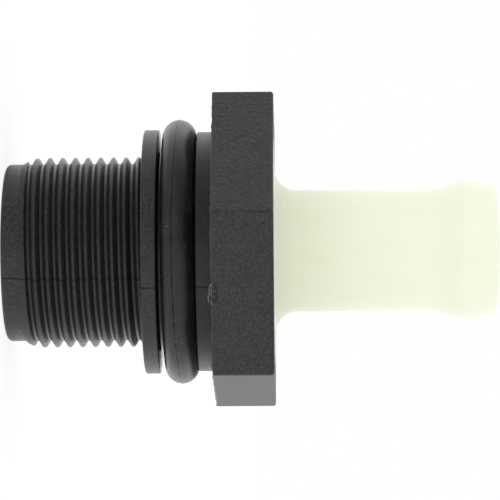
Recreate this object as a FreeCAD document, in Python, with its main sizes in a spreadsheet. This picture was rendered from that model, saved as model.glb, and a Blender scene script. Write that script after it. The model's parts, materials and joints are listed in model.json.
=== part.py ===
import FreeCAD, Part
import Sketcher
import math
import os
import re

# A screw-in hose fitting with a spring-loaded check valve inside.
# The axis is +Z. The nose stands on the plane z = 0 and the hose barb points up.
# All sizes are millimetres. Heights are measured from the nose's end face.

SIZES = {
    # the threaded body, from the nose up to the hexagon
    "nose_radius": 13.96,
    "nose_length": 2.9,
    "nose_round": 0.7,
    "thread_major_radius": 15.0,
    "thread_root_radius": 13.78,
    "thread_pitch": 2.0,
    "thread_crest_width": 0.3,
    "thread_bury": 0.12,
    "thread_first_crest": 1.63,
    "thread_last_crest": 23.0,
    "thread_full_height": 5.4,
    "thread_trim_radius": 16.0,
    "land_start": 21.8,
    "land_end": 24.2,
    "land_radius": 19.24,
    "groove_end": 30.1,
    "groove_radius": 15.6,
    "hex_start": 32.9,
    "collar_radius": 18.9,
    "land_round": 0.25,
    "hex_end": 42.2,
    "hex_across_flats": 45.0,
    "hex_corner_round": 0.5,
    "hex_edge_round": 0.45,
    # the flow passage inside the body
    "inlet_radius": 6.2,
    "inlet_chamfer": 0.6,
    "seat_start": 2.6,
    "chamber_radius": 11.5,
    "shoulder": 33.0,
    "guide_socket_radius": 14.5,
    "weld_floor": 38.4,
    "weld_socket_radius": 18.05,
    # the sealing ring in the outside groove
    "gland_ring_height": 27.45,
    "gland_ring_section_radius": 2.6,
    "gland_ring_gap": 0.02,
    # the hose barb with its disc flange
    "flange_radius": 18.0,
    "spigot_radius": 14.4,
    "spigot_end": 35.5,
    "barb_bore_radius": 7.6,
    "barb_throat_end": 46.0,
    "shank_radius": 9.57,
    "shank_root_round": 3.6,
    "shank_end": 67.6,
    "barb_rise_blend": 6.0,
    "barb_crest_radius": 11.3,
    "barb_crest_height": 71.9,
    "barb_crest_round": 2.4,
    "barb_tip_radius": 10.05,
    "barb_end": 77.1,
    "barb_end_round": 1.0,
    # the stem guide clamped between the body's shoulder and the barb's spigot
    "guide_radius": 14.4,
    "guide_top": 35.5,
    "guide_hub_start": 31.0,
    "guide_hub_end": 38.0,
    "guide_hub_radius": 4.0,
    "guide_spring_seat_radius": 5.9,
    "guide_bore_radius": 2.26,
    "guide_spoke_width": 1.8,
    "guide_spoke_count": 4,
    # the poppet, its seal ring and the clip on its stem
    "poppet_face": 2.8,
    "poppet_cone_gap": 0.5,
    "poppet_head_radius": 9.3,
    "poppet_rim": 1.0,
    "poppet_back": 8.4,
    "poppet_back_radius": 6.4,
    "poppet_spigot_radius": 4.2,
    "poppet_spigot_end": 10.0,
    "poppet_shoulder_radius": 3.2,
    "poppet_stroke": 6.0,
    "poppet_stop_gap": 0.05,
    "stem_radius": 2.2,
    "stem_end": 40.5,
    "stem_chamfer": 0.4,
    "seal_height": 5.2,
    "seal_section_radius": 0.9,
    "seal_seat_gap": 0.05,
    "seal_groove_gap": 0.04,
    "clip_start": 38.3,
    "clip_thickness": 0.6,
    "clip_groove_radius": 1.75,
    "clip_inner_radius": 1.8,
    "clip_outer_radius": 3.9,
    "clip_mouth": 2.9,
    "clip_gap": 0.05,
    # the spring between the poppet's back and the guide's hub
    "spring_radius": 5.0,
    "spring_wire_radius": 0.35,
    "spring_turns": 8,
    "spring_end_gap": 0.03,
}

doc = FreeCAD.newDocument("screw_in_check_fitting")
sheet = doc.addObject("Spreadsheet::Sheet", "sizes")
for row, (alias, value) in enumerate(SIZES.items(), start=1):
    sheet.set(f"A{row}", alias)
    sheet.set(f"B{row}", str(value))
    sheet.setAlias(f"B{row}", alias)
doc.recompute()

AXIS = 0  # a corner coordinate that lies on a sketch axis

# the seal ring's centre line stands off the 45 degree seat cone by its own section and the gap
SEAL_RING_RADIUS = (
    "inlet_radius + seal_height - seat_start - (seal_section_radius + seal_seat_gap) * sqrt(2)"
)


def formula(text):
    """Point every plain word of a formula at its cell in the sheet of sizes."""
    return re.sub(r"\b[a-z][a-z_0-9]*\b(?!\()", r"sizes.\g<0>", text)


def bind(feature, prop, text):
    feature.setExpression(prop, formula(text))


def new_body(label):
    body = doc.addObject("PartDesign::Body", label)
    body.Label = label
    return body


def origin_part(body, role):
    return next(o for o in body.Origin.OriginFeatures if o.Role == role)


def new_sketch(body, name, role, height=None):
    """A sketch on one of the body's own planes, lifted to a height along Z if one is given."""
    sketch = body.newObject("Sketcher::SketchObject", name)
    sketch.AttachmentSupport = (origin_part(body, role), "")
    sketch.MapMode = "FlatFace"
    if height:
        bind(sketch, "AttachmentOffset.Base.z", height)
    return sketch


def pin(sketch, line, end, corner):
    """Hold a point at a corner given by two formulas, or on an axis where one of them is AXIS."""
    for kind, place, axis in (("DistanceX", corner[0], -2), ("DistanceY", corner[1], -1)):
        if place == AXIS:
            sketch.addConstraint(Sketcher.Constraint("PointOnObject", line, end, axis))
            continue
        index = sketch.addConstraint(Sketcher.Constraint(kind, -1, 1, line, end, 1.0 + line))
        name = f"{kind}_{line}"
        sketch.renameConstraint(index, name)
        bind(sketch, f"Constraints.{name}", place)


def draw_outline(sketch, corners):
    """A closed outline of straight lines through corners given as (across, up) formulas."""
    count = len(corners)
    rough = [
        FreeCAD.Vector(10 + 5 * math.cos(2 * math.pi * k / count),
                       10 + 5 * math.sin(2 * math.pi * k / count), 0)
        for k in range(count)
    ]
    for k in range(count):
        sketch.addGeometry(Part.LineSegment(rough[k], rough[(k + 1) % count]), False)
    for k in range(count):
        following = (k + 1) % count
        sketch.addConstraint(Sketcher.Constraint("Coincident", k, 2, following, 1))
    for k, corner in enumerate(corners):
        pin(sketch, k, 1, corner)
    doc.recompute()


def add_feature(body, kind, name, profile):
    feature = body.newObject(kind, name)
    feature.Profile = profile
    profile.Visibility = False
    return feature


def turned(body, name, corners, cut=False):
    """A full turn of an outline about the Z axis, added to the body or cut from it."""
    sketch = new_sketch(body, f"{name}_outline", "XZ_Plane")
    draw_outline(sketch, corners)
    kind = "PartDesign::Groove" if cut else "PartDesign::Revolution"
    feature = add_feature(body, kind, name, sketch)
    feature.ReferenceAxis = (sketch, ["V_Axis"])
    feature.Angle = 360
    volume_before = body.Shape.Volume if cut else 0.0
    doc.recompute()
    if cut and body.Shape.Volume >= volume_before - 1e-3:
        raise RuntimeError(f"{name} cuts nothing")
    return feature


def wound(body, name, corners, pitch, height):
    """An outline beside the Z axis carried round it along a right-hand helix."""
    sketch = new_sketch(body, f"{name}_outline", "XZ_Plane")
    draw_outline(sketch, corners)
    helix = add_feature(body, "PartDesign::AdditiveHelix", name, sketch)
    helix.ReferenceAxis = (sketch, ["V_Axis"])
    helix.Mode = "pitch-height-angle"
    bind(helix, "Pitch", pitch)
    bind(helix, "Height", height)
    helix.LeftHanded = False
    helix.Reversed = False
    doc.recompute()
    return helix


def round_edges(body, name, radius, wanted):
    """A fillet on every edge of the body's shape for which wanted(edge) is true."""
    names = [f"Edge{k}" for k, e in enumerate(body.Shape.Edges, start=1) if wanted(e)]
    if not names:
        raise RuntimeError(f"{name} found no edge")
    base = body.Tip
    fillet = body.newObject("PartDesign::Fillet", name)
    fillet.Base = (base, names)
    bind(fillet, "Radius", radius)
    doc.recompute()
    if "Invalid" in fillet.State:
        raise RuntimeError(f"{name} failed: {fillet.getStatusString()}")
    return fillet


def is_ring(edge, radius, height):
    """Whether an edge is a full circle about Z with this radius at this height."""
    curve = edge.Curve
    return (
        isinstance(curve, Part.Circle)
        and abs(curve.Radius - radius) < 1e-4
        and abs(curve.Center.z - height) < 1e-4
        and math.hypot(curve.Center.x, curve.Center.y) < 1e-4
    )


def valve_body():
    """The black moulding: nose, thread, land, seal groove, collar and hexagon, bored right through."""
    body = new_body("valve_body")
    turned(body, "core", [
        (AXIS, AXIS),
        ("nose_radius", AXIS),
        ("nose_radius", "nose_length"),
        ("thread_root_radius", "nose_length + nose_radius - thread_root_radius"),
        ("thread_root_radius", "land_start"),
        ("land_radius", "land_start"),
        ("land_radius", "land_end"),
        ("groove_radius", "land_end"),
        ("groove_radius", "groove_end"),
        ("collar_radius", "groove_end"),
        ("collar_radius", "hex_start"),
        (AXIS, "hex_start"),
    ])
    round_edges(body, "nose_edge", "nose_round", lambda e: is_ring(e, SIZES["nose_radius"], 0))
    land_rings = [
        (SIZES["land_radius"], SIZES["land_start"]),
        (SIZES["land_radius"], SIZES["land_end"]),
        (SIZES["collar_radius"], SIZES["groove_end"]),
    ]
    round_edges(body, "land_edges", "land_round",
                lambda e: any(is_ring(e, radius, height) for radius, height in land_rings))
    hexagon = new_sketch(body, "hexagon_outline", "XY_Plane", "hex_start")
    half = "hex_across_flats / 2"
    side = "hex_across_flats / sqrt(3)"
    draw_outline(hexagon, [
        (half, f"{side} / 2"),
        (AXIS, side),
        (f"-{half}", f"{side} / 2"),
        (f"-{half}", f"-{side} / 2"),
        (AXIS, f"-{side}"),
        (half, f"-{side} / 2"),
    ])
    nut = add_feature(body, "PartDesign::Pad", "hexagon", hexagon)
    bind(nut, "Length", "hex_end - hex_start")
    doc.recompute()
    corner_reach = SIZES["hex_across_flats"] / math.sqrt(3)
    round_edges(body, "hexagon_corners", "hex_corner_round", lambda e: all(
        abs(math.hypot(v.X, v.Y) - corner_reach) < 1e-3 for v in e.Vertexes
    ) and abs(e.Vertexes[0].Z - e.Vertexes[-1].Z) > 1)
    round_edges(body, "hexagon_edge", "hex_edge_round", lambda e: all(
        abs(v.Z - SIZES["hex_end"]) < 1e-4 for v in e.Vertexes
    ))
    turned(body, "passage", [
        (AXIS, AXIS),
        ("inlet_radius + inlet_chamfer", AXIS),
        ("inlet_radius", "inlet_chamfer"),
        ("inlet_radius", "seat_start"),
        ("chamber_radius", "seat_start + chamber_radius - inlet_radius"),
        ("chamber_radius", "shoulder"),
        ("guide_socket_radius", "shoulder"),
        ("guide_socket_radius", "weld_floor"),
        ("weld_socket_radius", "weld_floor"),
        ("weld_socket_radius", "hex_end"),
        (AXIS, "hex_end"),
    ], cut=True)
    # a 60 degree ridge, its base buried a little in the root cylinder
    ridge_depth = "(thread_major_radius - thread_root_radius + thread_bury)"
    half_base = f"thread_crest_width / 2 + {ridge_depth} / sqrt(3)"
    wound(body, "thread", [
        ("thread_root_radius - thread_bury", f"thread_first_crest - ({half_base})"),
        ("thread_major_radius", "thread_first_crest - thread_crest_width / 2"),
        ("thread_major_radius", "thread_first_crest + thread_crest_width / 2"),
        ("thread_root_radius - thread_bury", f"thread_first_crest + ({half_base})"),
    ], "thread_pitch", "thread_last_crest - thread_first_crest")
    # the ridge is trimmed off the nose and fades in along a cone
    turned(body, "thread_lead_in", [
        ("nose_radius", AXIS),
        ("thread_trim_radius", AXIS),
        ("thread_trim_radius", "thread_full_height"),
        ("thread_major_radius", "thread_full_height"),
        ("nose_radius", "nose_length"),
    ], cut=True)
    return body


def hose_barb():
    """The natural nylon outlet: a disc flange welded into the hexagon, a shank and one barb."""
    body = new_body("hose_barb")
    turned(body, "outlet", [
        ("chamber_radius", "spigot_end"),
        ("spigot_radius", "spigot_end"),
        ("spigot_radius", "weld_floor"),
        ("flange_radius", "weld_floor"),
        ("flange_radius", "hex_end"),
        ("shank_radius", "hex_end"),
        ("shank_radius", "shank_end"),
        ("barb_crest_radius", "barb_crest_height"),
        ("barb_tip_radius", "barb_end"),
        ("barb_bore_radius", "barb_end"),
        ("barb_bore_radius", "barb_throat_end"),
    ])
    rings = {
        "shank_root": (SIZES["shank_radius"], SIZES["hex_end"], "shank_root_round"),
        "barb_rise": (SIZES["shank_radius"], SIZES["shank_end"], "barb_rise_blend"),
        "barb_crest": (SIZES["barb_crest_radius"], SIZES["barb_crest_height"], "barb_crest_round"),
        "barb_mouth": (SIZES["barb_tip_radius"], SIZES["barb_end"], "barb_end_round"),
    }
    for name, (radius, height, fillet) in rings.items():
        round_edges(body, name, fillet, lambda e: is_ring(e, radius, height))
    return body


def stem_guide():
    """A ring, a hub and spokes that centre the poppet's stem and let the flow past."""
    body = new_body("stem_guide")
    turned(body, "hub", [
        ("guide_bore_radius", "guide_hub_start"),
        ("guide_spring_seat_radius", "guide_hub_start"),
        ("guide_spring_seat_radius", "shoulder"),
        ("guide_hub_radius", "shoulder"),
        ("guide_hub_radius", "guide_hub_end"),
        ("guide_bore_radius", "guide_hub_end"),
    ])
    spoke_outline = new_sketch(body, "spoke_outline", "XY_Plane", "shoulder")
    across = "guide_spoke_width / 2"
    inner = "guide_hub_radius - 0.6"
    outer = "chamber_radius + 0.6"
    draw_outline(spoke_outline, [
        (inner, f"-{across}"),
        (outer, f"-{across}"),
        (outer, across),
        (inner, across),
    ])
    spoke = add_feature(body, "PartDesign::Pad", "spoke", spoke_outline)
    bind(spoke, "Length", "guide_top - shoulder")
    doc.recompute()
    spokes = body.newObject("PartDesign::PolarPattern", "spokes")
    spokes.Originals = [spoke]
    spokes.Axis = (spoke_outline, ["N_Axis"])
    spokes.Angle = 360
    bind(spokes, "Occurrences", "guide_spoke_count")
    body.Tip = spokes
    doc.recompute()
    turned(body, "ring", [
        ("chamber_radius", "shoulder"),
        ("guide_radius", "shoulder"),
        ("guide_radius", "guide_top"),
        ("chamber_radius", "guide_top"),
    ])
    return body


def poppet():
    """The moving valve head on its stem, with a groove for the seal ring and one for the clip."""
    body = new_body("poppet")
    cone_foot = "inlet_radius - seat_start - poppet_cone_gap"
    rim_start = f"poppet_head_radius - ({cone_foot})"
    stop = "guide_hub_start - poppet_stroke - poppet_stop_gap"
    turned(body, "head_and_stem", [
        (AXIS, "poppet_face"),
        (f"poppet_face + {cone_foot}", "poppet_face"),
        ("poppet_head_radius", rim_start),
        ("poppet_head_radius", f"{rim_start} + poppet_rim"),
        ("poppet_back_radius", "poppet_back"),
        ("poppet_spigot_radius", "poppet_back"),
        ("poppet_spigot_radius", "poppet_spigot_end"),
        ("poppet_shoulder_radius", "poppet_spigot_end"),
        ("poppet_shoulder_radius", stop),
        ("stem_radius", stop),
        ("stem_radius", "clip_start - clip_gap"),
        ("clip_groove_radius", "clip_start - clip_gap"),
        ("clip_groove_radius", "clip_start + clip_thickness + clip_gap"),
        ("stem_radius", "clip_start + clip_thickness + clip_gap"),
        ("stem_radius", "stem_end - stem_chamfer"),
        ("stem_radius - stem_chamfer", "stem_end"),
        (AXIS, "stem_end"),
    ])
    outline = new_sketch(body, "seal_groove_outline", "XZ_Plane")
    start = FreeCAD.Vector(7, 5, 0)
    outline.addGeometry(Part.Circle(start, FreeCAD.Vector(0, 0, 1), 1.0), False)
    pin(outline, 0, 3, (SEAL_RING_RADIUS, "seal_height"))
    size = outline.addConstraint(Sketcher.Constraint("Radius", 0, 1.0))
    outline.renameConstraint(size, "groove_radius")
    bind(outline, "Constraints.groove_radius", "seal_section_radius + seal_groove_gap")
    doc.recompute()
    groove = add_feature(body, "PartDesign::Groove", "seal_groove", outline)
    groove.ReferenceAxis = (outline, ["V_Axis"])
    groove.Angle = 360
    volume_before = body.Shape.Volume
    doc.recompute()
    if body.Shape.Volume >= volume_before - 1e-3:
        raise RuntimeError("the seal groove cuts nothing")
    return body


def rubber_ring(label, ring_radius, section_radius, height):
    ring = doc.addObject("Part::Torus", label)
    ring.Label = label
    bind(ring, "Radius1", ring_radius)
    bind(ring, "Radius2", section_radius)
    bind(ring, "Placement.Base.z", height)
    doc.recompute()
    return ring


def poppet_spring():
    """A round-wire compression spring between the poppet's back and the guide's hub."""
    body = new_body("poppet_spring")
    outline = new_sketch(body, "wire_outline", "XZ_Plane")
    outline.addGeometry(Part.Circle(FreeCAD.Vector(5, 9, 0), FreeCAD.Vector(0, 0, 1), 0.5), False)
    pin(outline, 0, 3, ("spring_radius", "poppet_back + spring_wire_radius + spring_end_gap"))
    size = outline.addConstraint(Sketcher.Constraint("Radius", 0, 0.5))
    outline.renameConstraint(size, "wire_radius")
    bind(outline, "Constraints.wire_radius", "spring_wire_radius")
    doc.recompute()
    coil = add_feature(body, "PartDesign::AdditiveHelix", "coil", outline)
    coil.ReferenceAxis = (outline, ["V_Axis"])
    coil.Mode = "height-turns-angle"
    bind(coil, "Height", "guide_hub_start - poppet_back - 2 * (spring_wire_radius + spring_end_gap)")
    bind(coil, "Turns", "spring_turns")
    doc.recompute()
    return body


def stem_clip():
    """An open retaining clip pushed sideways into the stem's groove."""
    body = new_body("stem_clip")
    turned(body, "washer", [
        ("clip_inner_radius", "clip_start"),
        ("clip_outer_radius", "clip_start"),
        ("clip_outer_radius", "clip_start + clip_thickness"),
        ("clip_inner_radius", "clip_start + clip_thickness"),
    ])
    mouth = new_sketch(body, "mouth_outline", "XY_Plane", "clip_start")
    draw_outline(mouth, [
        (AXIS, "-clip_mouth / 2"),
        ("clip_outer_radius + 1", "-clip_mouth / 2"),
        ("clip_outer_radius + 1", "clip_mouth / 2"),
        (AXIS, "clip_mouth / 2"),
    ])
    slot = add_feature(body, "PartDesign::Pocket", "mouth", mouth)
    slot.Type = "ThroughAll"
    slot.Midplane = True
    volume_before = body.Shape.Volume
    doc.recompute()
    if body.Shape.Volume >= volume_before - 1e-3:
        raise RuntimeError("the clip's mouth cuts nothing")
    return body


parts = [
    valve_body(),
    hose_barb(),
    stem_guide(),
    poppet(),
    rubber_ring("gland_o_ring", "groove_radius + gland_ring_section_radius + gland_ring_gap",
                "gland_ring_section_radius", "gland_ring_height"),
    rubber_ring("poppet_seal", SEAL_RING_RADIUS, "seal_section_radius", "seal_height"),
    poppet_spring(),
    stem_clip(),
]

doc.recompute()
for item in doc.Objects:
    if "Invalid" in item.State or "Error" in item.State:
        raise RuntimeError(f"{item.Label} failed: {item.State}")
os.makedirs("parts", exist_ok=True)
for part in parts:
    shape = part.Shape
    if shape.isNull() or not shape.isValid() or len(shape.Solids) != 1:
        raise RuntimeError(f"{part.Label} is not one valid solid")
    shape.exportStep(f"parts/{part.Label}.step")
    box = shape.BoundBox
    print(f"{part.Label}: {shape.Volume:.1f} mm3, z {box.ZMin:.2f} to {box.ZMax:.2f}")
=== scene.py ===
# %% [markdown]
# # A screw-in check valve fitting, finished in Blender
#
# The CAD model gives every piece its size, its place and its motion. This script gives the pieces their
# looks: the rounded crests of a moulded thread, the grain of glass-filled nylon, milky natural nylon, rubber
# and wire. Lengths are worked out in millimetres, because a fitting is drawn that way, and become metres in
# the meshes.

# %% Load the frame
import json
import math

import bmesh
import bpy
from mathutils import Matrix, Vector, noise


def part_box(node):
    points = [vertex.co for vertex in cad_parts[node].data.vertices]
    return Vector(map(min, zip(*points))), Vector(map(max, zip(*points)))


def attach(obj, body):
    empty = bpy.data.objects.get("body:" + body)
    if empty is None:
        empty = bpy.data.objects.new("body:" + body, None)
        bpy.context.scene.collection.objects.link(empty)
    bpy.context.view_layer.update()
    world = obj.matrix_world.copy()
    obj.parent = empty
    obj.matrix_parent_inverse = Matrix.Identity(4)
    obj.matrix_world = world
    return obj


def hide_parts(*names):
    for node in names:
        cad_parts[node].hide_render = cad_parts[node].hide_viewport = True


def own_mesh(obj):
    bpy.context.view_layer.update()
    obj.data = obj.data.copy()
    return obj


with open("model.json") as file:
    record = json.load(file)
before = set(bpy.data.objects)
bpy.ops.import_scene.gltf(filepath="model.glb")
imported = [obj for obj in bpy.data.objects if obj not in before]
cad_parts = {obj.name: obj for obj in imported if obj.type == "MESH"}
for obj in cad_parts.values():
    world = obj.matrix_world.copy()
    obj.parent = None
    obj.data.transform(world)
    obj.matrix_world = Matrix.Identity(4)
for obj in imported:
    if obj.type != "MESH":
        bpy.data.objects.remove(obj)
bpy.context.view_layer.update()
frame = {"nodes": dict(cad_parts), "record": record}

MM = 0.001
mounts = {mount["name"]: mount["dims"] for mount in frame["record"]["mounts"]}


def height(node, end):
    """The lowest (end 0) or highest (end 1) height of a CAD node, in millimetres."""
    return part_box(node)[end][2] / MM


# %% [markdown]
# ## Outlines with round corners
#
# Turned and moulded pieces are read from their outline. An outline here is a short list of corners, each
# with the radius of its rounding, and one helper puts the arcs in. Typing the points of every arc by hand
# would work too, but then no one could see which sizes the piece really has.

# %% Round the corners of an outline
ARC_STEP = math.radians(11)


def rounded(corners, closed=True):
    """Points along an outline of (radius, height, rounding) corners, in millimetres."""
    points = []
    count = len(corners)
    for k, (across, up, rounding) in enumerate(corners):
        here = Vector((across, up))
        inner = closed or 0 < k < count - 1
        if not rounding or not inner:
            points.append(here)
            continue
        before = (Vector(corners[k - 1][:2]) - here).normalized()
        after = (Vector(corners[(k + 1) % count][:2]) - here).normalized()
        half = before.angle(after) / 2
        centre = here + (before + after).normalized() * rounding / math.sin(half)
        start = here + before * rounding / math.tan(half) - centre
        turn = (math.pi - 2 * half) * (1 if start.cross(before) < 0 else -1)
        steps = max(2, round(abs(turn) / ARC_STEP))
        for step in range(steps + 1):
            angle = turn * step / steps
            points.append(centre + Matrix.Rotation(angle, 2) @ start)
    return points


# %% Turn an outline about the axis
def circle_ring(bm, radius, up, columns):
    turns = [2 * math.pi * k / columns for k in range(columns)]
    return [bm.verts.new((radius * MM * math.cos(a), radius * MM * math.sin(a), up * MM)) for a in turns]


def bridge(bm, lower, upper):
    count = len(lower)
    for k in range(count):
        following = (k + 1) % count
        bm.faces.new((lower[k], lower[following], upper[following], upper[k]))


def mesh_piece(name, bm, material, sharp_angle=35):
    """Close the books on a mesh: outward faces, smooth shading with sharp edges where it folds."""
    bmesh.ops.recalc_face_normals(bm, faces=bm.faces)
    if bm.calc_volume(signed=True) < 0:
        bmesh.ops.reverse_faces(bm, faces=bm.faces)
    for face in bm.faces:
        face.smooth = True
    for edge in bm.edges:
        edge.smooth = edge.is_manifold and edge.calc_face_angle() < math.radians(sharp_angle)
    mesh = bpy.data.meshes.new(name)
    bm.to_mesh(mesh)
    open_edges = sum(not edge.is_manifold for edge in bm.edges)
    bm.free()
    mesh.materials.append(material)
    piece = bpy.data.objects.new(name, mesh)
    bpy.context.scene.collection.objects.link(piece)
    print(f"{name}: {len(mesh.polygons)} faces, {open_edges} open edges")
    return piece


def turned_piece(name, outline, columns, material):
    """A ring-shaped solid: a closed outline carried once round the axis."""
    bm = bmesh.new()
    rings = [circle_ring(bm, point.x, point.y, columns) for point in outline]
    for k, ring in enumerate(rings):
        bridge(bm, ring, rings[(k + 1) % len(rings)])
    return mesh_piece(name, bm, material)


# %% [markdown]
# ## Building node trees
#
# Materials and Geometry Nodes are both graphs of small steps. Two short helpers keep their wiring readable:
# one adds a node and fills its sockets by name, the other adds a step of arithmetic.

# %% Node helpers
def add_node(tree, kind, settings=None, **sockets):
    """Add a node. Settings are its menu choices, and sockets are filled by name (spaces as underscores)."""
    made = tree.nodes.new(kind)
    for key, value in (settings or {}).items():
        setattr(made, key, value)
    for key, value in sockets.items():
        socket = made.inputs[key.replace("_", " ")]
        if isinstance(value, bpy.types.NodeSocket):
            tree.links.new(value, socket)
        else:
            socket.default_value = value
    return made


def calc(tree, operation, *terms):
    """One arithmetic step on sockets or numbers, and the socket that holds its result."""
    made = tree.nodes.new("ShaderNodeMath")
    made.operation = operation
    for socket, term in zip(made.inputs, terms):
        if isinstance(term, bpy.types.NodeSocket):
            tree.links.new(term, socket)
        else:
            socket.default_value = term
    return made.outputs[0]


# %% [markdown]
# ## Finishes
#
# Each finish is a Principled shader whose colour, roughness and bump come from noise in object space, so the
# grain stays with the piece. Scales are in cycles per metre: a grain of a quarter of a millimetre is a scale
# near 4000.

# %% Start a finish
PARTING_ANGLE = math.radians(-60)  # the mould's split runs through the middle of one flat and its opposite


def new_finish(name, **sockets):
    """A material with one Principled shader, and the object coordinates to drive it."""
    material = bpy.data.materials.new(name)
    material.use_nodes = True
    tree = material.node_tree
    tree.nodes.clear()
    shader = add_node(tree, "ShaderNodeBsdfPrincipled", **sockets)
    add_node(tree, "ShaderNodeOutputMaterial", Surface=shader.outputs[0])
    place = add_node(tree, "ShaderNodeTexCoord").outputs["Object"]
    return material, tree, shader, place


def grain(tree, place, scale, detail=3.0, roughness=0.6):
    return add_node(tree, "ShaderNodeTexNoise", Vector=place, Scale=scale, Detail=detail,
                    Roughness=roughness).outputs["Fac"]


def spread(tree, value, low, high, to_low, to_high):
    """Map a value from one range to another, clamped at both ends."""
    return add_node(tree, "ShaderNodeMapRange", Value=value, From_Min=low, From_Max=high,
                    To_Min=to_low, To_Max=to_high).outputs["Result"]


def mix_colour(tree, amount, first, second):
    """Blend two colours by a socket's value."""
    blend = tree.nodes.new("ShaderNodeMix")
    blend.data_type = "RGBA"
    tree.links.new(amount, blend.inputs[0])
    for socket, value in ((blend.inputs[6], first), (blend.inputs[7], second)):
        if isinstance(value, bpy.types.NodeSocket):
            tree.links.new(value, socket)
        else:
            socket.default_value = (*value, 1.0)
    return blend.outputs[2]


def add_bump(tree, shader, layers):
    """Stack bump layers, each a (height socket, strength, distance in metres)."""
    normal = None
    for value, strength, distance in layers:
        bump = add_node(tree, "ShaderNodeBump", Height=value, Strength=strength, Distance=distance)
        if normal:
            tree.links.new(normal, bump.inputs["Normal"])
        normal = bump.outputs["Normal"]
    tree.links.new(normal, shader.inputs["Normal"])


# %% [markdown]
# Black glass-filled nylon is dark grey with an eroded grain where the mould was spark-machined. The hexagon
# is the palest and coarsest zone, the nose and the land are smoother, the collar is the darkest, and only
# the seal groove is glossy. Height masks pick the zones, so one finish covers the whole moulding. Along the
# hexagon's edge a thin burr stands out, pale partly from stretching and partly as a painted highlight. The
# gate left a few pale strands, and round it a dark patch is painted shade for hollows that the mesh lacks.

# %% Zones of the moulding
NOSE_END = 2.9
LAND_START = 21.8
LAND_END = 24.2
GROOVE_END = 30.1
HEX_START = 32.9
BURR_LOWEST = 32.0
BURR_REACH = 22.0      # only the hexagon's edge is this far from the axis
GATE_MIDDLE = -0.1     # along the flat from its middle
GATE_HALF_WIDTH = 1.9
GATE_HALF_HEIGHT = 0.75
GATE_OUT = 18.0        # only the flat that carries the gate is this far out


def between(tree, value, low, high, soft=0.1):
    """1 where a value lies between two limits, with soft ends."""
    rise = spread(tree, value, low - soft, low + soft, 0.0, 1.0)
    return calc(tree, "MULTIPLY", rise, spread(tree, value, high - soft, high + soft, 1.0, 0.0))


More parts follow.
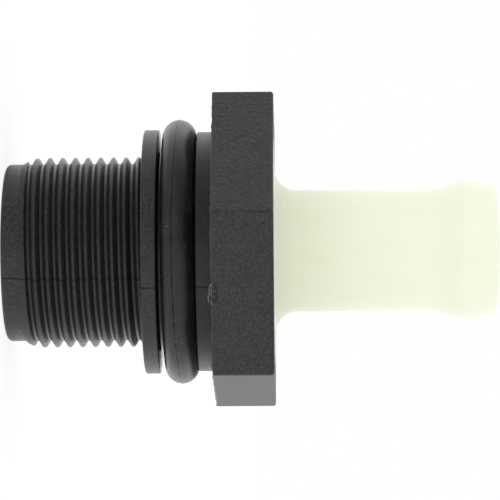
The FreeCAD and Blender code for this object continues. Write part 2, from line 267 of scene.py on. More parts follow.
# %% Black moulding
def black_moulding():
    material, tree, shader, place = new_finish("black_moulding", Specular_IOR_Level=0.5)
    split_frame = add_node(tree, "ShaderNodeMapping", {"vector_type": "TEXTURE"}, Vector=place,
                           Rotation=(0, 0, PARTING_ANGLE), Scale=(MM, MM, MM)).outputs[0]
    parts = add_node(tree, "ShaderNodeSeparateXYZ", Vector=split_frame).outputs
    up = parts["Z"]
    on_hexagon = spread(tree, up, HEX_START - 0.1, HEX_START + 0.1, 0.0, 1.0)
    on_collar = between(tree, up, LAND_END, HEX_START)
    on_thread = between(tree, up, NOSE_END + 0.3, LAND_START, 0.3)
    on_nose = spread(tree, up, NOSE_END - 0.3, NOSE_END + 0.3, 1.0, 0.0)
    across = calc(tree, "ABSOLUTE", parts["Y"])
    split = calc(tree, "MULTIPLY", spread(tree, across, 0.05, 0.11, 1.0, 0.0),
                 calc(tree, "SUBTRACT", 1.0, on_hexagon))
    fine = grain(tree, place, 4200.0, 2.0)
    coarse = grain(tree, place, 2300.0, 3.0)
    cloud = grain(tree, place, 420.0, 2.0)
    # the zones' own darkness, then the grain's, then a faint drift of colour
    tint = mix_colour(tree, on_thread, (0.0160, 0.0155, 0.0172), (0.0110, 0.0110, 0.0114))
    tint = mix_colour(tree, on_nose, tint, (0.0200, 0.0196, 0.0216))
    tint = mix_colour(tree, on_collar, tint, (0.0072, 0.0070, 0.0076))
    tint = mix_colour(tree, on_hexagon, tint, (0.0212, 0.0203, 0.0240))
    tint = mix_colour(tree, spread(tree, cloud, 0.42, 0.62, 0.0, 0.35), tint, (0.0185, 0.0192, 0.0170))
    shade = spread(tree, coarse, 0.32, 0.68, 0.25, 1.75)
    tint = add_node(tree, "ShaderNodeVectorMath", {"operation": "SCALE"}, Vector=tint,
                    Scale=shade).outputs[0]
    tint = mix_colour(tree, calc(tree, "MULTIPLY", split, 0.8), tint, (0.002, 0.002, 0.002))
    # pale burr on the hexagon's edge: partly the stretched plastic's own colour, partly a painted highlight
    # along the edge
    level = add_node(tree, "ShaderNodeCombineXYZ", X=parts["X"], Y=parts["Y"]).outputs[0]
    reach = add_node(tree, "ShaderNodeVectorMath", {"operation": "LENGTH"}, Vector=level).outputs["Value"]
    burr = calc(tree, "MULTIPLY", calc(tree, "GREATER_THAN", reach, BURR_REACH),
                between(tree, up, BURR_LOWEST, HEX_START - 0.04, 0.03))
    burr_pale_and_highlight = calc(tree, "MULTIPLY", burr, spread(tree, coarse, 0.35, 0.55, 0.35, 1.0))
    tint = mix_colour(tree, burr_pale_and_highlight, tint, (0.044, 0.043, 0.042))
    # round the gate, painted shade for hollows that the mesh lacks, with the strands paler than the burr that
    # they grow from
    torn = grain(tree, place, 1300.0, 2.0)
    gate_up = calc(tree, "DIVIDE", calc(tree, "SUBTRACT", up, HEX_START + 0.1), GATE_HALF_HEIGHT)
    gate_across = calc(tree, "DIVIDE", calc(tree, "SUBTRACT", parts["Y"], GATE_MIDDLE), GATE_HALF_WIDTH)
    gate_reach = calc(tree, "ADD", calc(tree, "POWER", gate_up, 2.0), calc(tree, "POWER", gate_across, 2.0))
    gate_side = calc(tree, "GREATER_THAN", parts["X"], GATE_OUT)
    patch = calc(tree, "MULTIPLY", gate_side, spread(tree, gate_reach, 0.45, 1.0, 1.0, 0.0))
    strands = calc(tree, "MULTIPLY", calc(tree, "MULTIPLY", gate_side, burr),
                   spread(tree, across, 1.8, 2.0, 1.0, 0.0))
    tint = mix_colour(tree, strands, tint, (0.105, 0.103, 0.101))
    # painted shade: a noisy dark patch in the colour, standing in for the hollows of the torn gate
    gate_painted_shade = calc(tree, "MULTIPLY", patch, spread(tree, torn, 0.46, 0.54, 0.0, 1.0))
    gate_painted_shade = calc(tree, "MULTIPLY", gate_painted_shade, calc(tree, "SUBTRACT", 1.0, strands))
    tint = mix_colour(tree, gate_painted_shade, tint, (0.001, 0.001, 0.001))
    tree.links.new(tint, shader.inputs["Base Color"])
    rough = spread(tree, coarse, 0.3, 0.7, 0.37, 0.49)
    rough = calc(tree, "ADD", rough, calc(tree, "MULTIPLY", on_hexagon, 0.05))
    rough = calc(tree, "SUBTRACT", rough, calc(tree, "MULTIPLY", on_thread, 0.06))
    # the groove and its two walls are smoother, because polished steel formed them
    in_groove = between(tree, up, LAND_END - 0.06, GROOVE_END + 0.06, 0.03)
    rough = calc(tree, "MULTIPLY", rough, spread(tree, in_groove, 0.0, 1.0, 1.0, 0.55))
    tree.links.new(rough, shader.inputs["Roughness"])
    tree.links.new(spread(tree, split, 0.0, 1.0, 0.5, 0.12), shader.inputs["Specular IOR Level"])
    depth = calc(tree, "SUBTRACT", spread(tree, on_hexagon, 0.0, 1.0, 0.9, 1.7),
                 calc(tree, "MULTIPLY", on_collar, 0.7))
    depth = calc(tree, "MULTIPLY", depth, spread(tree, in_groove, 0.0, 1.0, 1.0, 0.2))
    add_bump(tree, shader, [
        (calc(tree, "MULTIPLY", fine, depth), 0.5, 0.00008),
        (calc(tree, "MULTIPLY", coarse, depth), 0.5, 0.00016),
        (split, -0.6, 0.00005),
        (calc(tree, "MULTIPLY", patch, torn), 0.9, 0.0003),
    ])
    return material


# %% [markdown]
# Moulded nitrile rubber is nearly black and smoother than the body. It picks up dust, so a few pale specks
# sit on it, and its surface is very slightly uneven.

# %% Seal rubber
def seal_rubber(name, dusty):
    material, tree, shader, place = new_finish(name, Specular_IOR_Level=0.5)
    soft = grain(tree, place, 420.0, 3.0)
    fine = grain(tree, place, 2600.0, 2.0)
    specks = grain(tree, place, 2900.0, 1.0)
    patches = grain(tree, place, 210.0, 1.0)
    dust = calc(tree, "MULTIPLY", spread(tree, specks, 0.66, 0.74, 0.0, dusty),
                spread(tree, patches, 0.50, 0.62, 0.0, 1.0))
    tint = mix_colour(tree, spread(tree, soft, 0.35, 0.65, 0.0, 1.0),
                      (0.0050, 0.0049, 0.0058), (0.0095, 0.0093, 0.0108))
    tree.links.new(mix_colour(tree, dust, tint, (0.19, 0.18, 0.17)), shader.inputs["Base Color"])
    rough = calc(tree, "ADD", spread(tree, soft, 0.3, 0.7, 0.34, 0.43), calc(tree, "MULTIPLY", dust, 0.4))
    tree.links.new(rough, shader.inputs["Roughness"])
    add_bump(tree, shader, [(soft, 0.3, 0.00012), (fine, 0.35, 0.00006)])
    return material


# %% [markdown]
# Natural nylon is milky: light goes in, scatters and comes out again, so its shadows fill with a pale
# green-yellow. A plain diffuse white would look like paint, so a third of the light scatters below the
# surface.

# %% Natural nylon
def natural_nylon():
    material, tree, shader, place = new_finish(
        "natural_nylon", Specular_IOR_Level=0.1, Subsurface_Weight=0.35, Subsurface_Scale=0.0012,
        Subsurface_Radius=(1.0, 1.0, 0.7))
    flow = add_node(tree, "ShaderNodeMapping", Vector=place, Scale=(1.0, 1.0, 0.25)).outputs[0]
    streaks = grain(tree, flow, 260.0, 3.0)
    fine = grain(tree, place, 3200.0, 2.0)
    # faint rings left on the flange and its fillet by the turned mould
    up = add_node(tree, "ShaderNodeSeparateXYZ", Vector=place).outputs["Z"]
    rings = grain(tree, add_node(tree, "ShaderNodeCombineXYZ", Z=up).outputs[0], 2200.0, 2.0)
    near_root = spread(tree, up, 0.0445, 0.0475, 1.0, 0.0)
    tint = mix_colour(tree, spread(tree, streaks, 0.35, 0.65, 0.0, 1.0),
                      (0.905, 0.950, 0.755), (0.925, 0.968, 0.780))
    tint = mix_colour(tree, calc(tree, "MULTIPLY", near_root, spread(tree, rings, 0.4, 0.6, 0.0, 0.5)), tint,
                      (0.830, 0.860, 0.700))
    # painted shade: the colour darkens towards the root, where the hexagon cuts off light and the black body
    # round the flange swallows the light that would come back out
    painted_root_shade = calc(tree, "MULTIPLY", spread(tree, up, 0.0428, 0.0452, 0.86, 1.0),
                     spread(tree, up, 0.0440, 0.0560, 0.93, 1.0))
    tint = add_node(tree, "ShaderNodeVectorMath", {"operation": "SCALE"}, Vector=tint,
                    Scale=painted_root_shade).outputs[0]
    tree.links.new(tint, shader.inputs["Base Color"])
    tree.links.new(spread(tree, streaks, 0.3, 0.7, 0.36, 0.48), shader.inputs["Roughness"])
    add_bump(tree, shader, [(streaks, 0.12, 0.00015), (fine, 0.12, 0.00002)])
    return material


# %% [markdown]
# The inside pieces are seen only through the two ports. The guide is white acetal, the poppet is dark
# acetal, and the spring and clip are steel with fine drawing marks.

# %% Inner finishes
def acetal(name, low, high, roughness):
    material, tree, shader, place = new_finish(name, Specular_IOR_Level=0.5)
    cloud = grain(tree, place, 500.0, 3.0)
    fine = grain(tree, place, 6000.0, 2.0)
    tree.links.new(mix_colour(tree, spread(tree, cloud, 0.35, 0.65, 0.0, 1.0), low, high),
                   shader.inputs["Base Color"])
    tree.links.new(spread(tree, cloud, 0.3, 0.7, roughness - 0.05, roughness + 0.06),
                   shader.inputs["Roughness"])
    add_bump(tree, shader, [(fine, 0.15, 0.00002), (cloud, 0.1, 0.0001)])
    return material


def spring_steel(name, roughness):
    material, tree, shader, place = new_finish(name, Metallic=1.0)
    marks = add_node(tree, "ShaderNodeMapping", Vector=place, Scale=(1.0, 1.0, 6.0)).outputs[0]
    scratch = grain(tree, marks, 2500.0, 4.0)
    cloud = grain(tree, place, 700.0, 2.0)
    tree.links.new(mix_colour(tree, spread(tree, cloud, 0.35, 0.65, 0.0, 1.0),
                              (0.50, 0.49, 0.47), (0.66, 0.65, 0.62)), shader.inputs["Base Color"])
    tree.links.new(spread(tree, scratch, 0.3, 0.7, roughness - 0.08, roughness + 0.12),
                   shader.inputs["Roughness"])
    add_bump(tree, shader, [(scratch, 0.2, 0.00002)])
    return material


moulding_black = black_moulding()
rubber_outer = seal_rubber("gland_rubber", 0.8)
rubber_inner = seal_rubber("poppet_rubber", 0.1)
nylon_natural = natural_nylon()
acetal_white = acetal("guide_acetal", (0.70, 0.70, 0.66), (0.80, 0.80, 0.76), 0.38)
acetal_dark = acetal("poppet_acetal", (0.020, 0.020, 0.022), (0.032, 0.032, 0.035), 0.34)
steel_wire = spring_steel("spring_wire", 0.28)
steel_strip = spring_steel("clip_strip", 0.34)
print("finishes:", len(bpy.data.materials))

# %% [markdown]
# ## The thread
#
# A moulded M30 x 2 thread has 60 degree flanks, rounded crests and a narrow flat root, and it fades in from
# the smooth nose. Away from that lead-in, the radius depends only on how far a point is from the nearest
# crest along the axis. A swept profile would leave a hard seam at both ends, so Geometry Nodes bend a plain
# grid round the axis instead. The rows of the grid climb with the helix, so the crest keeps one shape all
# the way round.

# %% Sizes of the thread
NOSE_RADIUS = mounts["nose_pilot"]["r_mm"]
MAJOR_RADIUS = mounts["port_thread"]["r_mm"]
PITCH = 2.0
THREAD_START = 2.7
COLUMNS = 288
ROWS_PER_TURN = 16

THREAD_INPUTS = {
    "Nose radius": NOSE_RADIUS,
    "Major radius": MAJOR_RADIUS,
    "Root radius": 13.95,
    "Crest rounding": 0.34,
    "Pitch": PITCH,
    "Crest height": 1.76,
    "Start height": THREAD_START,
    "End height": LAND_START,
    "Lead in": 4.0,
}


# %% The thread's node tree
def new_tree(name, numbers):
    """A Geometry Nodes tree with named number inputs, a material input and a mesh output."""
    tree = bpy.data.node_groups.new(name, "GeometryNodeTree")
    tree.interface.new_socket("Geometry", in_out="INPUT", socket_type="NodeSocketGeometry")
    for label in numbers:
        tree.interface.new_socket(label, in_out="INPUT", socket_type="NodeSocketFloat")
    tree.interface.new_socket("Finish", in_out="INPUT", socket_type="NodeSocketMaterial")
    tree.interface.new_socket("Geometry", in_out="OUTPUT", socket_type="NodeSocketGeometry")
    return tree, tree.nodes.new("NodeGroupInput").outputs, tree.nodes.new("NodeGroupOutput")


def close_tree(tree, given, output, geometry):
    """End a tree: instances made real, the finish set, the result sent out."""
    real = add_node(tree, "GeometryNodeRealizeInstances", Geometry=geometry).outputs[0]
    painted = add_node(tree, "GeometryNodeSetMaterial", Geometry=real, Material=given["Finish"]).outputs[0]
    tree.links.new(painted, output.inputs[0])


def tree_result(name, tree, numbers, material):
    """Run a tree on an empty object and keep the plain mesh that it makes."""
    carrier = bpy.data.objects.new(name, bpy.data.meshes.new(f"{name}_base"))
    bpy.context.scene.collection.objects.link(carrier)
    modifier = carrier.modifiers.new("Build", "NODES")
    modifier.node_group = tree
    for item in tree.interface.items_tree:
        if item.in_out == "INPUT" and item.name in numbers:
            modifier[item.identifier] = numbers[item.name]
        elif item.in_out == "INPUT" and item.name == "Finish":
            modifier[item.identifier] = material
    graph = bpy.context.evaluated_depsgraph_get()
    mesh = bpy.data.meshes.new_from_object(carrier.evaluated_get(graph), depsgraph=graph)
    carrier.modifiers.remove(modifier)
    mesh.name = name
    carrier.data = mesh
    return carrier


def thread_tree(numbers):
    tree, given, output = new_tree("moulded_thread", numbers)
    columns = add_node(tree, "FunctionNodeInputInt", {"integer": COLUMNS + 1}).outputs[0]
    span = calc(tree, "SUBTRACT", given["End height"], given["Start height"])
    turns = calc(tree, "CEIL", calc(tree, "ADD", calc(tree, "DIVIDE", span, given["Pitch"]), 1.0))
    rows = calc(tree, "ADD", calc(tree, "MULTIPLY", turns, ROWS_PER_TURN), 1.0)
    grid = add_node(tree, "GeometryNodeMeshGrid", Size_X=1.0, Size_Y=1.0, Vertices_X=columns,
                    Vertices_Y=rows).outputs[0]
    here = add_node(tree, "ShaderNodeSeparateXYZ",
                    Vector=add_node(tree, "GeometryNodeInputPosition").outputs[0]).outputs
    round_axis = calc(tree, "ADD", here["X"], 0.5)
    along = calc(tree, "MULTIPLY", calc(tree, "ADD", here["Y"], 0.5), turns)
    # height of a grid point: its row, less one turn, plus the climb of the helix
    climb = calc(tree, "ADD", calc(tree, "SUBTRACT", along, 1.0), round_axis)
    raw = calc(tree, "ADD", given["Start height"], calc(tree, "MULTIPLY", climb, given["Pitch"]))
    up = calc(tree, "MINIMUM", calc(tree, "MAXIMUM", raw, given["Start height"]), given["End height"])
    # distance along the axis from the nearest crest
    phase = calc(tree, "SUBTRACT", calc(tree, "DIVIDE", calc(tree, "SUBTRACT", up, given["Crest height"]),
                                        given["Pitch"]), round_axis)
    wrapped = calc(tree, "SUBTRACT", calc(tree, "FRACT", calc(tree, "ADD", phase, 0.5)), 0.5)
    away = calc(tree, "MULTIPLY", calc(tree, "ABSOLUTE", wrapped), given["Pitch"])
    # a round crest that runs into a 60 degree flank
    rounding = given["Crest rounding"]
    inside = calc(tree, "MAXIMUM", calc(tree, "SUBTRACT", calc(tree, "POWER", rounding, 2.0),
                                        calc(tree, "POWER", away, 2.0)), 0.0)
    crest = calc(tree, "ADD", calc(tree, "SUBTRACT", given["Major radius"], rounding),
                 calc(tree, "SQRT", inside))
    tangent = calc(tree, "MULTIPLY", rounding, math.sin(math.radians(60)))
    fall = calc(tree, "MULTIPLY", calc(tree, "SUBTRACT", away, tangent), math.sqrt(3))
    flank = calc(tree, "SUBTRACT", calc(tree, "SUBTRACT", given["Major radius"],
                                        calc(tree, "MULTIPLY", rounding, 0.5)), fall)
    on_crest = calc(tree, "LESS_THAN", away, tangent)
    ridge = calc(tree, "ADD", calc(tree, "MULTIPLY", on_crest, crest),
                 calc(tree, "MULTIPLY", calc(tree, "SUBTRACT", 1.0, on_crest), flank))
    # the root starts level with the nose, and the crest rises along a convex lead-in
    risen = calc(tree, "MINIMUM", calc(tree, "DIVIDE", calc(tree, "SUBTRACT", up, given["Start height"]),
                                       given["Lead in"]), 1.0)
    left = calc(tree, "POWER", calc(tree, "SUBTRACT", 1.0, risen), 3.0)
    limit = calc(tree, "SUBTRACT", given["Major radius"],
                 calc(tree, "MULTIPLY", left, calc(tree, "SUBTRACT", given["Major radius"],
                                                   given["Nose radius"])))
    early = calc(tree, "MAXIMUM", calc(tree, "SUBTRACT", 1.0, calc(tree, "MULTIPLY", risen, 6.0)), 0.0)
    root = calc(tree, "ADD", given["Root radius"],
                calc(tree, "MULTIPLY", early, calc(tree, "SUBTRACT", given["Nose radius"],
                                                   given["Root radius"])))
    radius = calc(tree, "MINIMUM", calc(tree, "MAXIMUM", ridge, root), limit)
    angle = calc(tree, "MULTIPLY", round_axis, 2 * math.pi)
    place = add_node(tree, "ShaderNodeCombineXYZ",
                     X=calc(tree, "MULTIPLY", radius, calc(tree, "COSINE", angle)),
                     Y=calc(tree, "MULTIPLY", radius, calc(tree, "SINE", angle)), Z=up).outputs[0]
    metres = add_node(tree, "ShaderNodeVectorMath", {"operation": "SCALE"}, Vector=place,
                      Scale=MM).outputs[0]
    bent = add_node(tree, "GeometryNodeSetPosition", Geometry=grid, Position=metres).outputs[0]
    merged = add_node(tree, "GeometryNodeMergeByDistance", Geometry=bent, Distance=2e-6).outputs[0]
    close_tree(tree, given, output, merged)
    return tree


thread = tree_result("thread_surface", thread_tree(THREAD_INPUTS), THREAD_INPUTS, moulding_black)
print("thread faces:", len(thread.data.polygons))

# %% [markdown]
# ## The threaded body
#
# Nose, thread, land, seal groove, collar and hexagon are one moulding, hollow right through, so they become
# one closed mesh: rings of points joined by bands of faces. The hexagon is a ring too, with its own corner
# rounding. A boolean of a cylinder and a hexagonal prism would leave long thin faces that shade badly. The
# strands torn at the gate are small closed tubes of their own in the same mesh.

# %% Rings of the body
INLET_RADIUS = 6.2
INLET_CHAMFER = 0.6
BORE_END = 2.0
SEAT_START = 2.6
SEAT_END = 7.9
CHAMBER_RADIUS = 11.5
SHOULDER_HEIGHT = 33.0
RECESS_FLOOR = 38.4
RECESS_RADIUS = 18.05
SPIGOT_RADIUS = 14.4
SPIGOT_HOLE = 14.5
GROOVE_RADIUS = 15.6
COLLAR_RADIUS = 18.9
LOWER_FACE_RADIUS = 19.4  # the last round ring on the hexagon's lower face
END_FACE_RADIUS = 18.9    # the first round ring on the hexagon's end face
HEX_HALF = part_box("valve_body")[1][0] / MM
HEX_END = height("valve_body", 1)
HEX_CORNER = 0.5
HEX_EDGE = 0.45
COLUMNS_PER_SIDE = COLUMNS // 6
CORNER_COLUMNS = 4
BURR = 0.28


def hexagon_ring(bm, inset, up, burr=0.0):
    """A ring round the hexagon, pulled in by an inset, with rounded corners. A burr lowers it raggedly."""
    apothem = HEX_HALF - inset
    corner = max(HEX_CORNER - inset, 0.05)
    straight = (apothem - corner) * math.tan(math.radians(30))
    ring = []
    for k in range(COLUMNS):
        side, step = divmod(k + COLUMNS_PER_SIDE // 2, COLUMNS_PER_SIDE)
        step -= COLUMNS_PER_SIDE // 2
        flat_columns = COLUMNS_PER_SIDE // 2 - CORNER_COLUMNS
        along = straight * max(-1.0, min(1.0, step / flat_columns))
        over = max(0, abs(step) - flat_columns) * math.radians(30) / CORNER_COLUMNS
        over = math.copysign(over, step)
        spot = Vector((apothem - corner + corner * math.cos(over), along + corner * math.sin(over), 0))
        spot = Matrix.Rotation(math.radians(60 * side), 3, "Z") @ spot
        drop = burr * (0.75 + 0.6 * noise.fractal(spot * 0.9, 1.0, 2.0, 4))
        ring.append(bm.verts.new((spot.x * MM, spot.y * MM, (up - max(drop, 0.0)) * MM)))
    return ring


def edge_loop(bm, up):
    """The points of a mesh at one height, in order round the axis, starting at +X."""
    ring = [v for v in bm.verts if abs(v.co.z - up * MM) < 1e-7]
    return sorted(ring, key=lambda v: (math.atan2(v.co.y, v.co.x) + 1e-6) % (2 * math.pi))


# %% Strands torn at the gate
# (along the flat from its middle, height) of each strand; most ends run into the hexagon's edge
GATE_STRANDS = (
    ((-1.8, 32.9), (-1.5, 32.6), (-0.9, 32.4), (-0.1, 32.5), (0.5, 32.8)),
    ((-0.7, 32.6), (0.1, 32.3), (0.8, 32.25), (1.2, 32.35), (1.35, 32.6)),
    ((1.5, 32.85), (1.6, 32.7), (1.75, 32.7)),
    ((-0.65, 33.2), (-0.4, 33.25)),
)
STRAND_RADIUS = 0.11


def torn_strand(bm, route):
    """A thin closed thread of plastic along a route on the flat that carries the gate."""
    turn = Matrix.Rotation(PARTING_ANGLE, 3, "Z")
    outward = Vector((1, 0, 0))
    rings = []
    for k, (along, up) in enumerate(route):
        before, after = route[max(k - 1, 0)], route[min(k + 1, len(route) - 1)]
        side = outward.cross(Vector((0, after[0] - before[0], after[1] - before[1])).normalized())
        reach = STRAND_RADIUS * (0.5 if k in (0, len(route) - 1) else 1.0)
        centre = Vector((HEX_HALF - 0.03, along, up))
        turns = [math.radians(45) * step for step in range(8)]
        spots = [centre + (outward * math.cos(a) + side * math.sin(a)) * reach for a in turns]
        rings.append([bm.verts.new((turn @ spot) * MM) for spot in spots])
    for lower, upper in zip(rings, rings[1:]):
        bridge(bm, lower, upper)
    bm.faces.new(rings[0])
    bm.faces.new(rings[-1])


# %% Build the body
def body_moulding():
    bm = bmesh.new()
    bm.from_mesh(thread.data)
    start = edge_loop(bm, THREAD_START)
    end = edge_loop(bm, LAND_START)
    print("thread rings:", len(start), len(end))
    nose = rounded([
        (INLET_RADIUS, INLET_CHAMFER, 0),
        (INLET_RADIUS + INLET_CHAMFER, 0.0, 0),
        (NOSE_RADIUS, 0.0, 0.85),
        (NOSE_RADIUS, THREAD_START, 0),
    ], closed=False)
    rings = [circle_ring(bm, p.x, p.y, COLUMNS) for p in nose[:-1]] + [start]
    for lower, upper in zip(rings, rings[1:]):
        bridge(bm, lower, upper)
    first = rings[0]
    land = rounded([
        (MAJOR_RADIUS + 0.1, LAND_START, 0),
        (mounts["seal_land"]["r_mm"], LAND_START, 0.32),
        (mounts["seal_land"]["r_mm"], LAND_END, 0.3),
        (GROOVE_RADIUS, LAND_END, 0.25),
        (GROOVE_RADIUS, GROOVE_END, 0.25),
        (COLLAR_RADIUS, GROOVE_END, 0.3),
        (COLLAR_RADIUS, HEX_START, 0.1),
        (LOWER_FACE_RADIUS, HEX_START, 0),
    ], closed=False)
    rings = [end] + [circle_ring(bm, p.x, p.y, COLUMNS) for p in land]
    rings += [
        hexagon_ring(bm, 0.5, HEX_START),
        hexagon_ring(bm, 0.12, HEX_START),
        hexagon_ring(bm, 0.09, HEX_START - 0.02, BURR),
        hexagon_ring(bm, 0.04, HEX_START - 0.02, BURR),
        hexagon_ring(bm, 0.0, HEX_START + 0.15),
    ]
    arc_steps = 5
    for step in range(arc_steps + 1):
        lean = math.radians(90) * step / arc_steps
        rings.append(hexagon_ring(bm, HEX_EDGE * (1 - math.cos(lean)),
                                  HEX_END - HEX_EDGE * (1 - math.sin(lean))))
    inside = rounded([
        (END_FACE_RADIUS, HEX_END, 0),
        (RECESS_RADIUS, HEX_END, 0.08),
        (RECESS_RADIUS, RECESS_FLOOR, 0),
        (SPIGOT_HOLE, RECESS_FLOOR, 0),
        (SPIGOT_HOLE, SHOULDER_HEIGHT, 0),
        (CHAMBER_RADIUS, SHOULDER_HEIGHT, 0),
        (CHAMBER_RADIUS, SEAT_END, 0),
        (INLET_RADIUS, SEAT_START, 0),
        (INLET_RADIUS, BORE_END, 0),
    ], closed=False)
    rings += [circle_ring(bm, p.x, p.y, COLUMNS) for p in inside] + [first]
    for lower, upper in zip(rings, rings[1:]):
        bridge(bm, lower, upper)
    for route in GATE_STRANDS:
        torn_strand(bm, route)
    return mesh_piece("body_moulding", bm, moulding_black)


body = body_moulding()
bpy.data.objects.remove(thread)
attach(body, "fitting")
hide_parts("valve_body")

# %% [markdown]
# ## The sealing ring
#
# A moulded O-ring carries a thin fin where the two halves of its mould met, with a hairline overflow groove
# beside it. The ring is stretched into its groove by hand. It sits a hair out of square, and it has rolled a
# little, so the fin leaves the equator on one side. The mesh crowds its points round the fin, where the
# detail is.

# %% Build the sealing ring
RING_SECTION = (height("gland_o_ring", 1) - height("gland_o_ring", 0)) / 2
RING_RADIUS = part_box("gland_o_ring")[1][0] / MM - RING_SECTION
RING_HEIGHT = (height("gland_o_ring", 1) + height("gland_o_ring", 0)) / 2
RING_TILT = math.radians(0.35)
RING_ROLL = math.radians(-19)
FIN_HEIGHT = 0.10
FIN_WIDTH = 0.020
OVERFLOW_DEPTH = 0.06
CROWDING = 0.88
RING_COLUMNS = 400
SECTION_POINTS = 72
VIEW_AZIMUTH = math.radians(-76.6)  # the side that the camera sees, and that the ring has rolled on


def hump(across, middle, width):
    return math.exp(-((across - middle) / width) ** 2)


def sealing_ring():
    bm = bmesh.new()
    axis = Matrix.Rotation(RING_TILT, 3, Vector((math.cos(VIEW_AZIMUTH), math.sin(VIEW_AZIMUTH), 0)))
    centre = Vector((0, 0, RING_HEIGHT))
    rings = []
    for k in range(RING_COLUMNS):
        turn = 2 * math.pi * k / RING_COLUMNS
        outward = Vector((math.cos(turn), math.sin(turn), 0))
        roll = RING_ROLL * math.cos(turn - VIEW_AZIMUTH) + 0.035 * noise.noise(outward * 7.0)
        fin_height = FIN_HEIGHT * (0.75 + 0.8 * noise.noise(outward * 16.0))
        ring = []
        for step in range(SECTION_POINTS):
            across = 2 * math.pi * step / SECTION_POINTS
            across = (across + math.pi) % (2 * math.pi) - math.pi
            across -= CROWDING * math.sin(across)
            overflow = OVERFLOW_DEPTH * hump(across, 2.2 * FIN_WIDTH, FIN_WIDTH)
            reach = RING_SECTION + (fin_height * hump(across, 0, FIN_WIDTH) - overflow)
            angle = roll + across
            spot = outward * (RING_RADIUS + reach * math.cos(angle))
            spot += Vector((0, 0, reach * math.sin(angle)))
            ring.append(bm.verts.new((axis @ spot + centre) * MM))
        rings.append(ring)
    for k, ring in enumerate(rings):
        bridge(bm, ring, rings[(k + 1) % RING_COLUMNS])
    return mesh_piece("sealing_ring", bm, rubber_outer, sharp_angle=75)


ring = sealing_ring()
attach(ring, "fitting")
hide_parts("gland_o_ring")

# %% [markdown]
# ## The hose barb
#
# One turned outline: disc flange, filleted root, straight shank, one barb that rises in a soft curve and
# tapers to the mouth. Its flange fills the recess in the hexagon's end, where the two plastics are welded.

# %% Build the hose barb
SHANK_RADIUS = mounts["hose_tail"]["r_mm"]
BARB_END = height("hose_barb", 1)
BORE = mounts["outlet_bore"]["r_mm"]
FLANGE_RADIUS = 18.0
BARB_START = 67.6
BARB_TOP = 71.9
BARB_RADIUS = 11.3
MOUTH_RADIUS = 10.05
FUNNEL_END = 46.0  # the chamber has narrowed to the bore here
BARB_COLUMNS = 240


def barb_moulding():
    outline = rounded([
        (CHAMBER_RADIUS, height("hose_barb", 0), 0.1),
        (SPIGOT_RADIUS, height("hose_barb", 0), 0.2),
        (SPIGOT_RADIUS, RECESS_FLOOR, 0),
        (FLANGE_RADIUS, RECESS_FLOOR, 0),
        (FLANGE_RADIUS, HEX_END, 0.12),
        (SHANK_RADIUS, HEX_END, 3.6),
        (SHANK_RADIUS, BARB_START, 6.0),
        (BARB_RADIUS, BARB_TOP, 2.4),
        (MOUTH_RADIUS, BARB_END, 1.0),
        (BORE, BARB_END, 0.4),
        (BORE, FUNNEL_END, 3.0),
    ])
    return turned_piece("barb_moulding", outline, BARB_COLUMNS, nylon_natural)


barb = barb_moulding()
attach(barb, "fitting")
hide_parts("hose_barb")

# %% [markdown]
# ## The spring
#
# A compression spring is a wire that follows a helix, with its end turns wound close. Geometry Nodes bend a
# straight line of points into that helix, then sweep a circle along it.

# %% Build the spring
SPRING_INPUTS = {
    "Coil radius": 5.0,
    "Wire radius": 0.35,
    "Low end": 8.45,
    "High end": 30.95,
    "Turns": 9.5,
    "Closed turns": 0.95,
}
WIRE_POINTS = 420


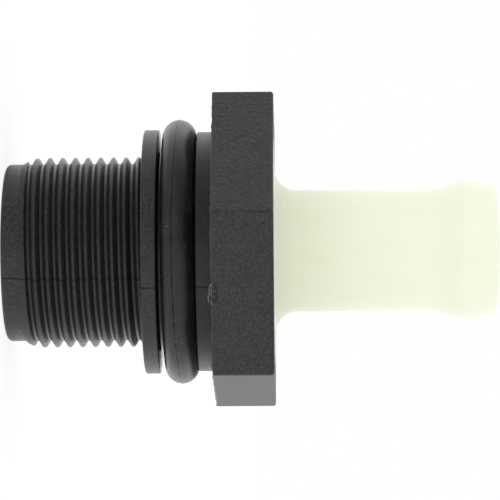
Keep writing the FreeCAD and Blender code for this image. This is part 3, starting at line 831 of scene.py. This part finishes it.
def spring_tree(numbers):
    tree, given, output = new_tree("valve_spring", numbers)
    line = add_node(tree, "GeometryNodeCurvePrimitiveLine").outputs[0]
    points = add_node(tree, "GeometryNodeResampleCurve", Curve=line, Count=WIRE_POINTS).outputs[0]
    share = add_node(tree, "GeometryNodeSplineParameter").outputs["Factor"]
    wound = calc(tree, "MULTIPLY", share, given["Turns"])
    angle = calc(tree, "MULTIPLY", wound, 2 * math.pi)
    wire = calc(tree, "MULTIPLY", given["Wire radius"], 2.0)
    closed = given["Closed turns"]
    open_turns = calc(tree, "SUBTRACT", given["Turns"], calc(tree, "MULTIPLY", closed, 2.0))
    length = calc(tree, "SUBTRACT", given["High end"], given["Low end"])
    stacked = calc(tree, "MULTIPLY", wire, calc(tree, "MULTIPLY", closed, 2.0))
    rise = calc(tree, "DIVIDE", calc(tree, "SUBTRACT", calc(tree, "SUBTRACT", length, wire), stacked),
                open_turns)
    # every turn climbs by one wire where it is closed and by the open pitch where it is not
    low_closed = calc(tree, "MINIMUM", wound, closed)
    past_closed = calc(tree, "SUBTRACT", wound, closed)
    middle = calc(tree, "MINIMUM", calc(tree, "MAXIMUM", past_closed, 0.0), open_turns)
    high_closed = calc(tree, "MAXIMUM", calc(tree, "SUBTRACT", past_closed, open_turns), 0.0)
    climb = calc(tree, "ADD", calc(tree, "MULTIPLY", calc(tree, "ADD", low_closed, high_closed), wire),
                 calc(tree, "MULTIPLY", middle, rise))
    up = calc(tree, "ADD", calc(tree, "ADD", given["Low end"], given["Wire radius"]), climb)
    place = add_node(tree, "ShaderNodeCombineXYZ",
                     X=calc(tree, "MULTIPLY", given["Coil radius"], calc(tree, "COSINE", angle)),
                     Y=calc(tree, "MULTIPLY", given["Coil radius"], calc(tree, "SINE", angle)),
                     Z=up).outputs[0]
    metres = add_node(tree, "ShaderNodeVectorMath", {"operation": "SCALE"}, Vector=place,
                      Scale=MM).outputs[0]
    helix = add_node(tree, "GeometryNodeSetPosition", Geometry=points, Position=metres).outputs[0]
    section = add_node(tree, "GeometryNodeCurvePrimitiveCircle", Resolution=14,
                       Radius=calc(tree, "MULTIPLY", given["Wire radius"], MM)).outputs[0]
    swept = tree.nodes.new("GeometryNodeCurveToMesh")
    tree.links.new(helix, swept.inputs[0])
    tree.links.new(section, swept.inputs[1])
    swept.inputs["Fill Caps"].default_value = True
    close_tree(tree, given, output, swept.outputs[0])
    return tree


spring = tree_result("valve_spring", spring_tree(SPRING_INPUTS), SPRING_INPUTS, steel_wire)
for polygon in spring.data.polygons:
    polygon.use_smooth = True
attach(spring, "fitting")
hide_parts("poppet_spring")
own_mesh(spring)
print("spring faces:", len(spring.data.polygons))

# %% [markdown]
# ## The carried-over pieces
#
# The guide, the poppet, its seal ring and the clip have the right shape already, so they only get their
# finish.

# %% Finish the inner CAD pieces
for node_name, finish in (("stem_guide", acetal_white), ("poppet", acetal_dark),
                          ("poppet_seal", rubber_inner), ("stem_clip", steel_strip)):
    mesh = frame["nodes"][node_name].data
    mesh.materials.clear()
    mesh.materials.append(finish)

# %% [markdown]
# ## Studio
#
# The fitting stands on a white light table inside a white tent. The table glows of its own, so it stays
# white right up to the part. Whoever works at a tent's opening leaves a dim patch in it: gloss shows that
# patch, and without it a black part looks grey and flat. The wall beyond the part, as the camera sees it, is
# lit from behind, and it brightens every edge that turns away. One rule shapes what reflections see, in the
# tent and on the table alike, in directions that stay fixed. Soft light and the view itself stay plain white.

# %% What gloss sees
OPENING_AZIMUTH = math.radians(-121.6)
OPENING_IN_TENT = 0.38
OPENING_ON_TABLE = 0.62
WALL_BRIGHTNESS = 0.92
BACK_AZIMUTH = math.radians(103)
BACK_BRIGHTNESS = 1.75
ROOF_BRIGHTNESS = 0.45


def facing(tree, towards, azimuth):
    """How squarely a level direction points at an azimuth."""
    square = tree.nodes.new("ShaderNodeVectorMath")
    square.operation = "DOT_PRODUCT"
    tree.links.new(towards, square.inputs[0])
    square.inputs[1].default_value = (math.cos(azimuth), math.sin(azimuth), 0.0)
    return square.outputs["Value"]


def seen_by_gloss(tree, direction, plain, opening):
    """The brightness in a direction: shaped round the axis for reflections, plain for everything else."""
    level = add_node(tree, "ShaderNodeVectorMath", {"operation": "MULTIPLY"}, Vector=direction)
    level.inputs[1].default_value = (1.0, 1.0, 0.0)
    towards = add_node(tree, "ShaderNodeVectorMath", {"operation": "NORMALIZE"},
                       Vector=level.outputs[0]).outputs[0]
    walls = spread(tree, facing(tree, towards, OPENING_AZIMUTH), 0.64, 0.84, WALL_BRIGHTNESS, opening)
    back = spread(tree, facing(tree, towards, BACK_AZIMUTH), 0.12, 0.60, 1.0, BACK_BRIGHTNESS)
    rise = add_node(tree, "ShaderNodeSeparateXYZ", Vector=direction).outputs["Z"]
    shaped = calc(tree, "MULTIPLY", calc(tree, "MULTIPLY", walls, back),
                  spread(tree, rise, 0.25, 0.9, 1.0, ROOF_BRIGHTNESS))
    gloss = add_node(tree, "ShaderNodeLightPath").outputs["Is Glossy Ray"]
    return calc(tree, "ADD", calc(tree, "MULTIPLY", gloss, shaped),
                calc(tree, "MULTIPLY", calc(tree, "SUBTRACT", 1.0, gloss), plain))


# %% Floor
TABLE_RADIUS = 3.0
TABLE_DROP = 0.00002  # just clear of the nose, so the two faces don't fight
TABLE_GLOW = 0.8
TABLE_TINT = 0.25


def light_table():
    bm = bmesh.new()
    bmesh.ops.create_circle(bm, cap_ends=True, segments=64, radius=TABLE_RADIUS)
    mesh = bpy.data.meshes.new("floor")
    bm.to_mesh(mesh)
    bm.free()
    floor = bpy.data.objects.new("floor", mesh)
    floor.location.z = -TABLE_DROP
    bpy.context.scene.collection.objects.link(floor)
    material, tree, shader, place = new_finish("light_table", Roughness=0.8, Specular_IOR_Level=0.0)
    shader.inputs["Emission Color"].default_value = (1.0, 1.0, 1.0, 1.0)
    # the table's own colour adds its tint on top of the glow
    seen = seen_by_gloss(tree, place, TABLE_GLOW + TABLE_TINT, OPENING_ON_TABLE)
    glow = calc(tree, "MAXIMUM", calc(tree, "SUBTRACT", seen, TABLE_TINT), 0.0)
    tree.links.new(glow, shader.inputs["Emission Strength"])
    haze = grain(tree, place, 40.0, 2.0)
    tree.links.new(mix_colour(tree, haze, (0.24, 0.24, 0.24), (0.26, 0.26, 0.26)),
                   shader.inputs["Base Color"])
    mesh.materials.append(material)


# %% Tent
def white_tent():
    world = bpy.data.worlds.new("studio")
    world.use_nodes = True
    tree = world.node_tree
    back = tree.nodes["Background"]
    back.inputs["Color"].default_value = (1.0, 1.0, 1.0, 1.0)
    towards = add_node(tree, "ShaderNodeTexCoord").outputs["Generated"]
    tree.links.new(seen_by_gloss(tree, towards, 1.0, OPENING_IN_TENT), back.inputs["Strength"])
    bpy.context.scene.world = world
    bpy.context.scene.view_settings.view_transform = "Standard"


light_table()
white_tent()

# %% [markdown]
# ## Camera
#
# The camera looks square at the axis from half a metre away, near the height of the hexagon's end face, and
# it is turned on its side so that the axis runs across the frame with the barb on the right.

# %% Place the camera
CAMERA_DISTANCE = 0.490
FOCAL_LENGTH = 223.2
SENSOR_WIDTH = 36.0
AIM_HEIGHT = 38.3 * MM
LEAN = math.radians(0.86)
ROLL = math.radians(0.4)
AIM_ABOVE_AXIS = 0.19 * MM


def place_camera():
    outward = Vector((math.cos(VIEW_AZIMUTH), math.sin(VIEW_AZIMUTH), 0))
    axis = Vector((0, 0, 1))
    back = outward * math.cos(LEAN) + axis * math.sin(LEAN)
    right = (axis - back * axis.dot(back)).normalized()
    up = back.cross(right)
    cos, sin = math.cos(ROLL), math.sin(ROLL)
    right, up = right * cos - up * sin, up * cos + right * sin
    data = bpy.data.cameras.new("camera")
    data.sensor_width = SENSOR_WIDTH
    data.lens = FOCAL_LENGTH
    data.clip_start = 0.01
    camera = bpy.data.objects.new("camera", data)
    target = axis * AIM_HEIGHT + up * AIM_ABOVE_AXIS
    turn = Matrix((right, up, back)).transposed()
    camera.matrix_world = Matrix.Translation(target + back * CAMERA_DISTANCE) @ turn.to_4x4()
    bpy.context.scene.collection.objects.link(camera)
    bpy.context.scene.camera = camera


place_camera()
